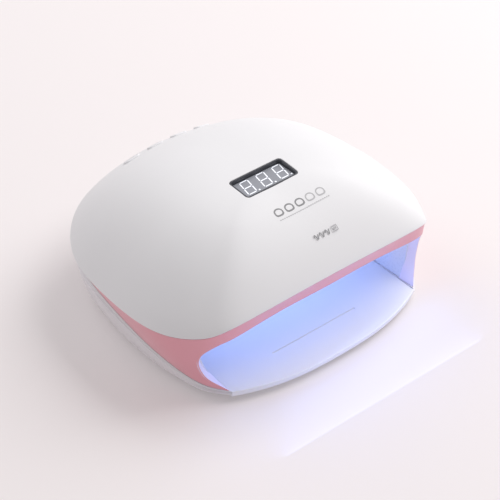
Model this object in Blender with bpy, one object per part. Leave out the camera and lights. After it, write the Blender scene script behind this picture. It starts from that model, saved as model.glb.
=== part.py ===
"""UV LED nail lamp: a low domed lamp that cures gel polish on the hand placed in its front opening.

Frame: metres, +Z up, the hand opening faces -Y, the origin is at the middle of the footprint on
the table. Lengths in this file are in millimetres; add_part() scales them to metres.
"""

import math

import bmesh
import bpy
import numpy as np
from mathutils import Matrix, Vector

MM = 0.001
GAP = 0.3                     # clearance between neighbouring parts
WALL = 2.4                    # wall of the moulded shells
AROUND = 80                   # points on each closed outline of the shells

# Half outlines of the shells, from the front centre round the +X side to the rear centre.
COVER_EDGE = [
    (0, -97, 67.5), (41.8, -96.7, 66.7), (74, -94.7, 64.2), (90.1, -89.6, 60.1), (97.2, -82, 56.1),
    (103.6, -72.6, 53.6), (109.5, -61.5, 52.4), (113.5, -48, 51.9), (115.2, -30.4, 51.5),
    (114.6, -7.8, 50.7), (112.3, 15.5, 49.9), (108.2, 35.3, 49.8), (100.3, 53.5, 50.6),
    (86.1, 72.2, 51.4), (64.2, 89.5, 51), (34.3, 102.2, 49.6), (0, 107.2, 48.8),
]
CREST_INSET = [0.1, 0.4, 0.9, 1.5, 2.4, 3.1, 3.8, 4.3, 4.8, 5.3, 5.9, 7, 8.2, 8.9, 9.2, 9.4, 9.4]
CREST_RISE = [1, 1.6, 2.5, 4, 6, 7.5, 8.7, 8.9, 9, 9.3, 10.2, 11.4, 12, 11.9, 11.7, 11.6, 11.6]
BASE_EDGE = [
    (0, -106, 9), (42, -103.5, 9), (72, -96.5, 9), (82.5, -89.5, 9.3), (89.5, -81, 10.3),
    (94.9, -72, 12.8), (99.5, -61.5, 17), (104.1, -48.1, 23), (108, -30.5, 30.5),
    (110.4, -8.5, 38.8), (110.6, 14, 45.5), (106.8, 34.3, 48.7), (98.9, 52.3, 49.8),
    (84.9, 70.9, 50.4), (63.4, 88, 50), (33.9, 100.6, 48.6), (0, 105.6, 47.8),
]
CREASE_DROP = [1, 1, 1, 1, 1.2, 1.5, 2, 2.7, 3.5, 4.7, 6, 7, 8, 8, 8, 8, 8]
BASE_LOW = [
    (0, -103, 6), (42, -101, 6), (71, -95, 6), (83, -88.5, 6), (90.5, -79.5, 6.2),
    (94.5, -70, 6.5), (97, -59.5, 6.8), (99.3, -46, 7), (100.4, -30.5, 7.2),
    (100.6, -8.5, 7.5), (98.8, 13.5, 8), (95.6, 33, 8), (91, 52, 8),
    (79, 70, 8), (61, 84, 8), (33, 96, 8), (0, 100.5, 8),
]
FRAME_WAIST = [9, 9, 4, 1.2, -0.9, -1.1, -1.2, -0.6, 0, 0, 0, 0, 0, 0, 0, 0, 0]
FRAME_WALL = 1.5
FRAME_DEEP = 3                # rows of the frame's return between the opening and the mouth
# Knot numbers of the frame's columns: where they meet the base beside the opening, from the tail
# forward, and where they all meet the cover, from the tail to the front centre.
FRAME_TAIL_LOW = [10.6, 9.2, 7.8, 6.6, 5.4, 4.2, 3.4]
FRAME_UPPER = [10.6, 9.6, 8.7, 7.8, 7.1, 6.5, 6, 5.6, 5.2, 4.9, 4.6, 4.2, 3.7, 3.1, 2.1, 1, 0]

APEX = Vector((0, -14, 105.5))
# Shape of the dome towards the front, the sides and the rear: power and fullness of its profile.
DOME_REACH = (110, 83, 112)    # half axes of those ellipses: side, front and rear
DOME_POWER = (2.04, 2.92, 2.14)
DOME_FULLNESS = (1.16, 1.04, 1.05)
DOME_SOFTNESS = 0.1
DOME_ROUNDING = 0.5           # how far the level outlines near the top turn into ellipses

# Hand opening in the front view, half outline from the tray up to the top centre.
OPENING = [(81.5, 10.2), (87.5, 14.5), (93, 21.5), (96.3, 33), (94.5, 42.5), (87.5, 49.5), (75, 52.2),
           (40, 53.6), (20, 53.9), (0, 54)]
# Front edge of the liner in the front view; the frame's inner return ends on it.
LINER_MOUTH = [(80.9, 10.2), (84, 14.5), (88.3, 21.5), (92.6, 34), (91.2, 45), (84.5, 51.5), (72, 54.2),
               (40, 55.4), (20, 55.6), (0, 55.7)]
# Liner cavity levels: height, half width, rear y; the mouth flares by so much more at each level.
LINER_LEVELS = [(9.2, 80.8, 72), (21, 84, 71.5), (38, 86.4, 70), (47, 85, 67), (53, 79, 61), (56.5, 68, 50)]
LINER_FLARE = [0, 4, 6.6, 5, 2.5, 0]
FLARE_START, FLARE_END = -76, -62
LINER_WALL = 1.6
LINER_CORNER = 38
MOUTH_Y = -79                 # the mouth plane: y = MOUTH_Y + MOUTH_LEAN * z
MOUTH_LEAN = 0.2

TRAY_HALF = 80.3
TRAY_TOP = 8.7
TRAY_UNDER = 5.6
TONGUE_UNDER = 4.2
TRAY_FRONT = -107.2
TRAY_CORNER_Y = -92.2
TRAY_REAR = 48
TONGUE_START = -88
TRAY_AXIS = (0, -20, 7)       # a point on the line the tray slides along
GROOVE_LENGTH, GROOVE_WIDTH, GROOVE_DEPTH, GROOVE_Y = 73, 1.6, 0.8, -80.3

FOOT_HEIGHT = 2.7
BASE_BOTTOM = 3.0
BASE_FLOOR = 5.2              # top of the floor under the tray
RAIL_TOP = 8.9                # top of the side rails that carry the liner

WINDOW = Vector((0, -27.2, 0))
WINDOW_SIZE = (44.2, 20.6)
WINDOW_CORNER = 2.8
MODULE_SIZE = (37.6, 19.0, 8.0)
MODULE_RECESS = 2.8
PLATE = 0.9                   # thickness of the display's face plate
BEZEL_WALL = 1.3
BEZEL_DROP = 1.8              # how far the bezel lies below the top of the cover

BUTTON_X = (-30.6, -10.2, 10.2, 30.6)
BUTTON_Y = 77
BUTTON_SIZE = (13, 6.5)
BUTTON_RISE = 0.9             # how far the caps stand out of the cover
BUTTON_DEPTH = 4.2
PLUNGER_LENGTH = 1.7
SWITCH_SIZE = (6, 6, 3.4)
SWITCH_LEVEL = -8.5           # middle of a switch below the cover's surface
BUTTON_BOARD_TILT = math.radians(36)

BOARD = 1.6                   # thickness of the circuit boards
BOARD_LEVEL = 66.0            # underside of the main board
LED_SIDE_Y = (-52, -20, 12, 36)
LED_SIDE_Z = 29.5
LED_TOP_X = (-48, -16, 16, 48)
LED_TOP_Y = (-52, -18, 16)
LED_RADIUS = 3.1
INLET_FACE_Y, INLET_Z = 101.5, 28
VENT_WIDTH = 2.5

FOOT_PLACES = [(sx * x, y) for x, y in ((72, -64), (64, 58)) for sx in (-1, 1)]
SENSOR_PLACE = (0, -34)
SCREW_PLACES = [(sx * x, y) for x, y in ((86.5, -44), (85.5, 33)) for sx in (-1, 1)]

COLOURS = {
    "white": (0.86, 0.86, 0.88), "pink": (0.72, 0.36, 0.42), "liner": (0.8, 0.82, 0.9),
    "board": (0.05, 0.22, 0.12), "black": (0.03, 0.03, 0.035), "grey": (0.42, 0.44, 0.5),
    "lens": (0.75, 0.72, 0.95), "steel": (0.55, 0.55, 0.56), "rubber": (0.06, 0.06, 0.06),
}


def spline(half, places):
    """Points of the closed cubic spline through a half outline and its mirror image, by knot number."""
    half = np.array(half, float)
    if half.ndim == 1:
        half = half[:, None]
        mirror = [1]
    else:
        mirror = [-1] + [1] * (half.shape[1] - 1)
    knots = np.vstack([half, (half[1:-1] * mirror)[::-1]])
    size = len(knots)
    unit = np.eye(size)
    matrix = 4 * unit + np.roll(unit, 1, 0) + np.roll(unit, -1, 0)
    slopes = np.linalg.solve(matrix, 3 * (np.roll(knots, -1, 0) - np.roll(knots, 1, 0)))
    places = np.mod(np.array(places, float), size)
    k = np.minimum(places.astype(int), size - 1)
    f = (places - k)[:, None]
    a, b = knots[k], knots[(k + 1) % size]
    slope_a, slope_b = slopes[k], slopes[(k + 1) % size]
    ease = f * f * (3 - 2 * f)
    return a + (b - a) * ease + slope_a * f * (1 - f) ** 2 - slope_b * f * f * (1 - f)


def smooth_loop(half, count=AROUND):
    """The closed spline of a half outline as count rows, evenly spaced by knot number."""
    return spline(half, np.arange(count) * (2 * len(half) - 2) / count)


def outward(ring):
    """Unit plan normals of a closed ring, pointing away from the middle."""
    along = np.roll(ring, -1, 0) - np.roll(ring, 1, 0)
    normal = np.stack([along[:, 1], -along[:, 0], np.zeros(len(ring))], 1)
    normal /= np.linalg.norm(normal, axis=1)[:, None]
    return normal * np.sign((normal * ring).sum())


def offset(ring, out, rise=0.0):
    """The ring moved outward by out and up by rise; either may be one value per point."""
    moved = ring + outward(ring) * np.reshape(out, (-1, 1))
    moved[:, 2] += np.ravel(rise)
    return moved


def dome_rings(crest, apex, shares):
    """Rings of the dome between the crest and the apex, at the given shares of the way in."""
    reach = crest[:, :2] - np.array(apex[:2])
    length = np.linalg.norm(reach, axis=1)
    sine = reach[:, 1] / length
    front = np.clip(-sine, 0, 1) ** 2
    rear = np.clip(sine, 0, 1) ** 2
    mix = np.array([front, 1 - front - rear, rear])
    power = DOME_POWER @ mix
    fullness = DOME_FULLNESS @ mix
    depth = np.where(sine < 0, DOME_REACH[1], DOME_REACH[2])
    ellipse = 1 / np.sqrt((1 - sine ** 2) / DOME_REACH[0] ** 2 + sine ** 2 / depth ** 2)
    rings = []
    for share in shares:
        soft = math.sqrt(1 + DOME_SOFTNESS ** 2) - DOME_SOFTNESS
        eased = (math.sqrt(share ** 2 + DOME_SOFTNESS ** 2) - DOME_SOFTNESS) / soft
        lift = np.maximum(0, 1 - eased ** power) ** (1 / fullness)
        turn = 1 + DOME_ROUNDING * (1 - share) * (ellipse / length - 1)
        plan = np.array(apex[:2]) + reach * share * turn[:, None]
        height = crest[:, 2] + (apex[2] - crest[:, 2]) * lift
        rings.append(np.column_stack([plan, height]))
    return rings


def dome_point(x, y):
    """Height and unit normal of the dome's outer surface above (x, y)."""
    edge = smooth_loop(COVER_EDGE, 720)
    crest = offset(edge, -smooth_loop(CREST_INSET, 720), smooth_loop(CREST_RISE, 720))
    shares = np.linspace(0.02, 0.98, 97)
    cloud = np.array(dome_rings(crest, APEX, shares)).reshape(-1, 3)
    near = cloud[np.argsort(np.hypot(cloud[:, 0] - x, cloud[:, 1] - y))[:60]]
    dx, dy = near[:, 0] - x, near[:, 1] - y
    terms = np.column_stack([np.ones(len(dx)), dx, dy, dx * dx, dx * dy, dy * dy])
    fit = np.linalg.lstsq(terms, near[:, 2], rcond=None)[0]
    return float(fit[0]), Vector((-fit[1], -fit[2], 1)).normalized()


def material(name):
    """The shared Principled material of a colour, made the first time it is asked for."""
    found = bpy.data.materials.get(name)
    if found:
        return found
    made = bpy.data.materials.new(name)
    made.use_nodes = True
    shader = made.node_tree.nodes["Principled BSDF"]
    shader.inputs["Base Color"].default_value = (*COLOURS[name], 1)
    shader.inputs["Roughness"].default_value = 0.3 if name in ("lens", "steel", "black") else 0.45
    shader.inputs["Metallic"].default_value = 1.0 if name == "steel" else 0.0
    return made


def add_part(name, mesh, colour, smooth=True, origin=(0, 0, 0)):
    """Turns a bmesh in millimetres into a named object in metres, with its origin at a given point."""
    bmesh.ops.recalc_face_normals(mesh, faces=mesh.faces)
    bmesh.ops.translate(mesh, vec=-Vector(origin), verts=mesh.verts)
    bmesh.ops.scale(mesh, vec=(MM, MM, MM), verts=mesh.verts)
    data = bpy.data.meshes.new(name)
    mesh.to_mesh(data)
    mesh.free()
    if smooth:
        data.shade_smooth()
        data.set_sharp_from_angle(angle=math.radians(35))
    made = bpy.data.objects.new(name, data)
    made.location = Vector(origin) * MM
    bpy.context.scene.collection.objects.link(made)
    if colour:
        data.materials.append(material(colour))
    return made


def add_cutter(name, mesh):
    """A hidden wire object that other parts subtract or join."""
    made = add_part(name, mesh, None, smooth=False)
    made.hide_render = True
    made.display_type = "WIRE"
    return made


def combine(target, tool, operation="DIFFERENCE"):
    """Adds an exact Boolean of the tool to the target."""
    made = target.modifiers.new(tool.name, "BOOLEAN")
    made.operation = operation
    made.object = tool
    made.solver = "EXACT"


def box(size, centre, matrix=None):
    """A bmesh box; matrix places it after centre if given."""
    mesh = bmesh.new()
    bmesh.ops.create_cube(mesh, size=1)
    bmesh.ops.scale(mesh, vec=size, verts=mesh.verts)
    bmesh.ops.translate(mesh, vec=centre, verts=mesh.verts)
    if matrix:
        bmesh.ops.transform(mesh, matrix=matrix, verts=mesh.verts)
    return mesh


def spans(low, high):
    """A bmesh box between two corners."""
    low, high = Vector(low), Vector(high)
    return box(high - low, (low + high) / 2)


def cylinder(radius, bottom, top, centre=(0, 0), sides=16, matrix=None, tip=None):
    """A bmesh cylinder along Z, or a cone if tip gives its top radius."""
    mesh = bmesh.new()
    bmesh.ops.create_cone(mesh, cap_ends=True, segments=sides, radius1=radius,
                          radius2=radius if tip is None else tip, depth=top - bottom)
    bmesh.ops.translate(mesh, vec=(centre[0], centre[1], (bottom + top) / 2), verts=mesh.verts)
    if matrix:
        bmesh.ops.transform(mesh, matrix=matrix, verts=mesh.verts)
    return mesh


def merge(*meshes):
    """One bmesh holding several; the bodies stay separate, so only cutters use it."""
    joined = meshes[0]
    for extra in meshes[1:]:
        data = bpy.data.meshes.new("joined")
        extra.to_mesh(data)
        extra.free()
        joined.from_mesh(data)
        bpy.data.meshes.remove(data)
    return joined


def prism(outline, low, high, matrix=None):
    """A closed outline of (x, y) points extruded along Z from low to high."""
    mesh = bmesh.new()
    rows = [[mesh.verts.new((x, y, z)) for x, y in outline] for z in (low, high)]
    mesh.faces.new(rows[0])
    mesh.faces.new(rows[1])
    for k in range(len(outline)):
        after = (k + 1) % len(outline)
        mesh.faces.new((rows[0][k], rows[0][after], rows[1][after], rows[1][k]))
    if matrix:
        bmesh.ops.transform(mesh, matrix=matrix, verts=mesh.verts)
    return mesh


def rounded(width, depth, radius, steps=4):
    """Points of a rectangle with rounded corners, centred on the origin."""
    points = []
    for quarter in range(4):
        sx, sy = ((1, 1), (-1, 1), (-1, -1), (1, -1))[quarter]
        centre = Vector((sx * (width / 2 - radius), sy * (depth / 2 - radius)))
        for k in range(steps + 1):
            angle = math.pi / 2 * (quarter + k / steps)
            points.append((centre.x + radius * math.cos(angle), centre.y + radius * math.sin(angle)))
    return points


def add_rings(mesh, rings):
    """Vertices of each ring, joined to the next ring by quads."""
    rows = [[mesh.verts.new(p) for p in ring] for ring in rings]
    for low, high in zip(rows[:-1], rows[1:]):
        for k in range(len(low)):
            after = (k + 1) % len(low)
            mesh.faces.new((low[k], low[after], high[after], high[k]))
    return rows


def close_ring(mesh, row, pole):
    """Closes a ring with a fan of triangles round a pole."""
    middle = mesh.verts.new(pole)
    for k in range(len(row)):
        mesh.faces.new((row[k], row[(k + 1) % len(row)], middle))


def bowl(outer, inner, outer_pole, inner_pole):
    """A closed bowl or dome of one wall: two nested sets of rings that meet at their first ring."""
    mesh = bmesh.new()
    rows_out, rows_in = add_rings(mesh, outer), add_rings(mesh, inner)
    close_ring(mesh, rows_out[-1], outer_pole)
    close_ring(mesh, rows_in[-1], inner_pole)
    for k in range(len(rows_out[0])):
        after = (k + 1) % len(rows_out[0])
        mesh.faces.new((rows_out[0][k], rows_out[0][after], rows_in[0][after], rows_in[0][k]))
    return mesh


def sheet(front, back, present=None):
    """A closed solid between two grids of points; present marks the quads that exist."""
    mesh = bmesh.new()
    rows, columns = len(front), len(front[0])
    if present is None:
        present = np.ones((rows - 1, columns - 1), bool)
    needed = np.zeros((rows, columns), bool)
    for j, k in np.argwhere(present):
        needed[j:j + 2, k:k + 2] = True
    layers = []
    for grid in (front, back):
        verts = {(j, k): mesh.verts.new(grid[j][k]) for j, k in map(tuple, np.argwhere(needed))}
        for j, k in np.argwhere(present):
            mesh.faces.new((verts[j, k], verts[j, k + 1], verts[j + 1, k + 1], verts[j + 1, k]))
        layers.append(verts)
    partner = {vert: layers[1][key] for key, vert in layers[0].items()}
    rim = [edge for edge in mesh.edges if len(edge.link_faces) == 1 and edge.verts[0] in partner]
    for edge in rim:
        a, b = edge.verts
        mesh.faces.new((a, b, partner[b], partner[a]))
    return mesh


def cover_rings(thickness, shares):
    """Rings of the cover from its lower edge over the crest to the top, inset by the wall."""
    edge = smooth_loop(COVER_EDGE)
    inset, rise = smooth_loop(CREST_INSET), smooth_loop(CREST_RISE)
    side = thickness / WALL * 0.9
    low = offset(edge, -thickness)
    middle = offset(edge, -inset / 2 + np.minimum(1.2, rise / 6) - thickness, rise / 2 - side / 2)
    crest = offset(edge, -inset - thickness * 0.8, rise - side)
    apex = APEX - Vector((0, 0, thickness))
    return [low, middle, *dome_rings(crest, apex, [1.0, *shares])], apex


def button_frame(x):
    """Placement of a button: its origin on the surface, +Z along the outward press axis."""
    height, normal = dome_point(x, BUTTON_Y)
    along = Vector((1, 0, -normal.x / normal.z)).normalized()
    turn = Matrix((along, normal.cross(along), normal)).transposed().to_4x4()
    return Matrix.Translation((x, BUTTON_Y, height)) @ turn


def build_cover():
    shares = [0.97, 0.91, 0.83, 0.73, 0.61, 0.47, 0.32, 0.16]
    outer, pole = cover_rings(0, shares)
    inner, inner_pole = cover_rings(WALL, shares)
    cover = add_part("top_cover", bowl(outer, inner, pole, inner_pole), "white")
    window = prism(rounded(*WINDOW_SIZE, WINDOW_CORNER), 94, 112, Matrix.Translation(WINDOW))
    combine(cover, add_cutter("window_cutter", window))
    holes = [prism(rounded(BUTTON_SIZE[0] + 2 * GAP, BUTTON_SIZE[1] + 2 * GAP, BUTTON_SIZE[1] / 2),
                   -8, 8, button_frame(x)) for x in BUTTON_X]
    combine(cover, add_cutter("button_hole_cutter", merge(*holes)))


def build_display():
    top, _ = dome_point(0, WINDOW.y)
    face = top - MODULE_RECESS
    under = face - PLATE
    width, depth = WINDOW_SIZE
    inner_width, inner_depth = width - 2 * BEZEL_WALL, depth - 2 * BEZEL_WALL
    outline = rounded(width - 2 * GAP, depth - 2 * GAP, WINDOW_CORNER - GAP)
    hollow = rounded(inner_width, inner_depth, WINDOW_CORNER - BEZEL_WALL)
    place = Matrix.Translation(WINDOW)
    bezel = add_part("display_bezel", prism(outline, under, top - BEZEL_DROP, place), "black")
    combine(bezel, add_cutter("bezel_cutter", prism(hollow, face - 5, top + 5, place)))
    face_plate = rounded(inner_width - 2 * GAP, inner_depth - 2 * GAP, 1.2)
    add_part("display_face", prism(face_plate, under, face, place), "grey")
    height = MODULE_SIZE[2]
    add_part("display_module", box(MODULE_SIZE, (0, WINDOW.y, under - GAP - height / 2)), "grey")
    board = box((48, 30, BOARD), (0, WINDOW.y, under - 2 * GAP - height - BOARD / 2))
    add_part("display_board", board, "board")


def build_buttons():
    cap_outline = rounded(BUTTON_SIZE[0], BUTTON_SIZE[1], BUTTON_SIZE[1] / 2 - 0.01)
    for number, x in enumerate(BUTTON_X, 1):
        place = button_frame(x)
        cap = prism(cap_outline, -BUTTON_DEPTH, BUTTON_RISE, place)
        add_part(f"timer_button_{number}", cap, "white", origin=place.translation)
        top = -BUTTON_DEPTH - GAP
        stem = cylinder(1.7, top - PLUNGER_LENGTH, top, sides=10, matrix=place)
        add_part(f"switch_plunger_{number}", stem, "black", origin=place.translation)
        body = box(SWITCH_SIZE, (0, 0, SWITCH_LEVEL), place)
        add_part(f"tact_switch_{number}", body, "steel", smooth=False)
    low = min(button_frame(x).translation.z for x in BUTTON_X)
    middle = Matrix.Translation((0, BUTTON_Y, low)) @ Matrix.Rotation(-BUTTON_BOARD_TILT, 4, "X")
    board = box((78, 14, BOARD), (0, 0, -14.2), middle)
    add_part("button_board", board, "board", smooth=False)


def plan_normals(half, places):
    """Outward plan normals of the closed spline of a half outline, by knot number."""
    along = spline(half, np.array(places) + 0.02) - spline(half, np.array(places) - 0.02)
    normal = np.stack([along[:, 1], -along[:, 0], np.zeros(len(along))], 1)
    return normal / np.linalg.norm(normal, axis=1)[:, None]


def frame_points(places, heights):
    """Points of the frame's outer surface, by knot number and height share from base to cover."""
    t = np.array(heights, float)[:, None]
    low = spline(BASE_EDGE, places) - 0.2 * plan_normals(BASE_EDGE, places) + (0, 0, GAP)
    high = spline(COVER_EDGE, places) - 0.9 * plan_normals(COVER_EDGE, places) - (0, 0, 1.0)
    waist = spline(FRAME_WAIST, places) * 4 * t * (1 - t)
    return low + (high - low) * t - waist * plan_normals(COVER_EDGE, places)


def resample(stations, share, steps):
    """Catmull-Rom points through rows of numbers, steps points a span and the last row."""
    p = np.array([stations[0], *stations, stations[-1]], float)
    made = []
    for k in range(1, len(p) - 2):
        for f in np.arange(steps) / steps:
            a, b, c, d = p[k - 1], p[k], p[k + 1], p[k + 2]
            curve = 0.5 * (2 * b + (c - a) * f + (2 * a - 5 * b + 4 * c - d) * f ** 2
                           + (3 * b - a - 3 * c + d) * f ** 3)
            made.append(share * curve + (1 - share) * (b + (c - b) * f))
    made.append(p[-2])
    return np.array(made)


def frame_grid(across=5, deep=FRAME_DEEP, steps=2):
    """Half of the frame from its tail to the front centre: rows from the cover's edge to the
    opening, then back to the mouth; the last deep rows exist only beside the opening."""
    v, t = np.meshgrid(np.linspace(0, 7, 701), np.linspace(0, 1, 101), indexing="ij")
    cloud = frame_points(v.ravel(), t.ravel())
    lower = [(place, 0) for place in FRAME_TAIL_LOW]
    for x, z in OPENING:
        near = int(np.argmin(np.hypot(cloud[:, 0] - x, cloud[:, 2] - z)))
        lower.append((v.ravel()[near], t.ravel()[near]))
    upper = [(place, 1) for place in FRAME_UPPER]
    lower = resample(lower, 0.8, steps)
    upper = resample(upper, 1, steps)
    rows = []
    for share in np.linspace(0, 1, across + 1) ** 0.7:
        path = upper + (lower - upper) * (share ** 4, share)
        rows.append(frame_points(path[:, 0], path[:, 1]))
    foot = len(FRAME_TAIL_LOW) * steps
    front = MOUTH_Y - GAP - FRAME_WALL
    mouth = resample([(x, front + MOUTH_LEAN * z, z) for x, z in LINER_MOUTH], 0.8, steps)
    edge = rows[-1][foot:]
    for share in np.linspace(0, 1, deep + 1)[1:]:
        ring = edge + (mouth - edge) * share
        rows.append(np.vstack([rows[across][:foot], ring]))
    grid = np.array(rows)
    present = np.ones((grid.shape[0] - 1, grid.shape[1] - 1), bool)
    present[across:, :foot] = False
    return grid, present


def thickened(grid, present, wall):
    """The grid moved inward along its own normals by the wall."""
    normal = np.zeros_like(grid)
    for j, k in np.argwhere(present):
        a, b, c, d = grid[j, k], grid[j, k + 1], grid[j + 1, k + 1], grid[j + 1, k]
        face = np.cross(c - a, d - b)
        face /= np.linalg.norm(face) + 1e-9
        for row, column in ((j, k), (j, k + 1), (j + 1, k + 1), (j + 1, k)):
            normal[row, column] += face
    length = np.linalg.norm(normal, axis=2)[:, :, None]
    return grid - wall * normal / (length + 1e-9)


def build_frame():
    half, present = frame_grid()
    whole = np.concatenate([half, half[:, -2::-1] * (-1, 1, 1)], axis=1)
    present = np.concatenate([present, present[:, ::-1]], axis=1)
    inner = thickened(whole, present, FRAME_WALL)
    if inner[0, 0, 0] > whole[0, 0, 0]:
        inner = thickened(whole, present, -FRAME_WALL)
    beside = ~present[-1]
    low = np.append(beside, True) & np.insert(beside, 0, True)
    bottom = len(whole) - 1 - FRAME_DEEP
    inner[0, :, 2] = np.minimum(inner[0, :, 2], whole[0, :, 2])
    inner[bottom, low, 2] = np.maximum(inner[bottom, low, 2], whole[bottom, low, 2])
    inner[:, :, 2] = np.maximum(inner[:, :, 2], OPENING[0][1] - 0.3)
    radial = (whole[bottom + 1:] - (0, 0, 20)) * (1, 0, 1)
    radial /= np.linalg.norm(radial, axis=2)[:, :, None]
    inner[bottom + 1:] = whole[bottom + 1:] + FRAME_WALL * (0.8 * radial + np.array((0, 0.8, 0)))
    add_part("side_frame", sheet(whole, inner, present), "pink")


def build_base():
    edge = smooth_loop(BASE_EDGE)
    drop = smooth_loop(CREASE_DROP)
    low = smooth_loop(BASE_LOW)
    crease = offset(edge, -0.7, -drop)
    bulge = offset((crease * 0.5 + low * 0.5), 1.2)
    bottom = offset(low, -6)
    bottom[:, 2] = BASE_BOTTOM
    outer = [edge, crease, bulge, low, bottom]
    rim = offset(edge, -WALL)
    inner_low = offset(low, -WALL)
    inner_low[:, 2] = RAIL_TOP
    middle = (rim + inner_low) / 2
    inner = [rim, middle, inner_low, offset(inner_low, -14)]
    mesh = bowl(outer, inner, (0, 0, BASE_BOTTOM), (0, 0, RAIL_TOP))
    base = add_part("base_shell", mesh, "white")
    front, rear = TONGUE_START + 2 * GAP, TRAY_REAR + 2
    profile = [(-130, 0), (front, 0), (front, BASE_FLOOR), (rear, BASE_FLOOR), (rear, 70), (-130, 70)]
    across = Matrix(((0, 0, 1, 0), (1, 0, 0, 0), (0, 1, 0, 0), (0, 0, 0, 1)))
    channel = prism(profile, -TRAY_HALF - GAP, TRAY_HALF + GAP, across)
    combine(base, add_cutter("tray_channel_cutter", channel))
    half = VENT_WIDTH / 2
    vents = [spans((x - half, 10, 0), (x + half, 44, 7)) for x in range(-42, 43, 12)]
    combine(base, add_cutter("floor_vent_cutter", merge(*vents)))
    holes = [cylinder(1.9, 0, 12, place, 12) for place in SCREW_PLACES]
    combine(base, add_cutter("screw_hole_cutter", merge(*holes)))
    heads = [cylinder(3.5, 0, 4.9, place, 12) for place in SCREW_PLACES]
    combine(base, add_cutter("screw_head_cutter", merge(*heads)))
    turn = Matrix.Rotation(math.pi / 2, 4, "X")
    inlet = cylinder(5.6, -20, 20, sides=20, matrix=Matrix.Translation((0, INLET_FACE_Y, INLET_Z)) @ turn)
    combine(base, add_cutter("inlet_cutter", inlet))
    middles = [sx * (34 + 6 * k) for sx in (-1, 1) for k in range(4)]
    slots = [spans((x - half, 70, INLET_Z - 8), (x + half, 120, INLET_Z + 8)) for x in middles]
    combine(base, add_cutter("rear_vent_cutter", merge(*slots)))


def build_tray():
    steps = 24
    outline = []
    for k in range(steps + 1):
        x = TRAY_HALF * (2 * k / steps - 1)
        y = TRAY_FRONT + (TRAY_CORNER_Y - TRAY_FRONT) * abs(x / TRAY_HALF) ** 2.6
        outline.append((x, y))
    outline += [(TRAY_HALF, TRAY_REAR), (-TRAY_HALF, TRAY_REAR)]
    tray = add_part("tray", prism(outline, TONGUE_UNDER, TRAY_TOP), "white", origin=TRAY_AXIS)
    under = spans((-90, TONGUE_START, 0), (90, 90, TRAY_UNDER))
    combine(tray, add_cutter("tray_under_cutter", under))
    groove = spans((-GROOVE_LENGTH / 2, GROOVE_Y - GROOVE_WIDTH / 2, TRAY_TOP - GROOVE_DEPTH),
                   (GROOVE_LENGTH / 2, GROOVE_Y + GROOVE_WIDTH / 2, TRAY_TOP + 3))
    combine(tray, add_cutter("groove_cutter", groove))


def liner_level(z, half_width, rear, flare, grow):
    """One plan outline of the liner, running on past the mouth plane, where it is cut."""
    w, r = half_width + grow, LINER_CORNER + grow
    back = rear + grow
    mouth = w + flare
    points = [(-mouth, -130, z), (mouth, -130, z), (mouth, FLARE_START, z)]
    points += [(w, FLARE_END, z), (w, back - r, z)]
    for k in range(1, 8):
        angle = math.pi / 2 * k / 8
        points.append((w - r + r * math.cos(angle), back - r + r * math.sin(angle), z))
    points += [(w - r, back, z), (-w + r, back, z)]
    for k in range(1, 8):
        angle = math.pi / 2 * (1 + k / 8)
        points.append((-w + r + r * math.cos(angle), back - r + r * math.sin(angle), z))
    points += [(-w, back - r, z), (-w, FLARE_END, z), (-mouth, FLARE_START, z)]
    return points


def liner_solid(grow, floor):
    """The solid that fills the liner up to its inner surface, or its outer one if grow is the wall."""
    levels = []
    for k, (z, half_width, rear) in enumerate(LINER_LEVELS):
        height = z + grow * k / 5 if k else floor
        levels.append(liner_level(height, half_width, rear, LINER_FLARE[k], grow))
    mesh = bmesh.new()
    rows = add_rings(mesh, levels)
    mesh.faces.new(rows[0])
    mesh.faces.new(rows[-1])
    return mesh


def wall_frame(side, y, z=LED_SIDE_Z):
    """Placement on the liner's side wall: origin on its inner face, +Z pointing into the chamber."""
    (z0, w0, _), (z1, w1, _) = LINER_LEVELS[1], LINER_LEVELS[2]
    x = w0 + (w1 - w0) * (z - z0) / (z1 - z0)
    lean = math.atan2(w1 - w0, z1 - z0)
    turn = Matrix.Rotation(-side * (math.pi / 2 - lean), 4, "Y")
    return Matrix.Translation((side * x, y, z)) @ turn


def lamp_places():
    """Name and placement of each LED; +Z of the placement points into the chamber."""
    places = {}
    for side, label in ((-1, "left"), (1, "right")):
        for k, y in enumerate(LED_SIDE_Y, 1):
            places[f"led_{label}_{k}"] = wall_frame(side, y)
    ceiling = LINER_LEVELS[-1][0]
    number = 0
    for y in LED_TOP_Y:
        for x in LED_TOP_X:
            number += 1
            turn = Matrix.Rotation(math.pi, 4, "X")
            places[f"led_top_{number}"] = Matrix.Translation((x, y, ceiling)) @ turn
    return places


def build_liner(places):
    liner = add_part("chamber_liner", liner_solid(LINER_WALL, LINER_LEVELS[0][0]), "liner")
    combine(liner, add_cutter("liner_cavity", liner_solid(0, 0)))
    lean = math.atan(MOUTH_LEAN)
    place = Matrix.Translation((0, MOUTH_Y, 0)) @ Matrix.Rotation(-lean, 4, "X")
    combine(liner, add_cutter("mouth_cutter", box((260, 100, 300), (0, -50, 0), place)))
    for number, (x, y) in enumerate(SCREW_PLACES, 1):
        inner = math.copysign(82, x)
        outer = x + math.copysign(3.6, x)
        ear = spans((min(inner, outer), y - 6, RAIL_TOP + GAP), (max(inner, outer), y + 6, 13))
        combine(liner, add_cutter(f"ear_{number}", ear), "UNION")
    holes = [cylinder(3.5, -6, 6, sides=12, matrix=place) for place in places.values()]
    holes += [cylinder(1.9, 0, 20, place, 10) for place in SCREW_PLACES]
    holes.append(cylinder(2.9, 50, 60, SENSOR_PLACE, 12))
    combine(liner, add_cutter("liner_hole_cutter", merge(*holes)))


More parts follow.
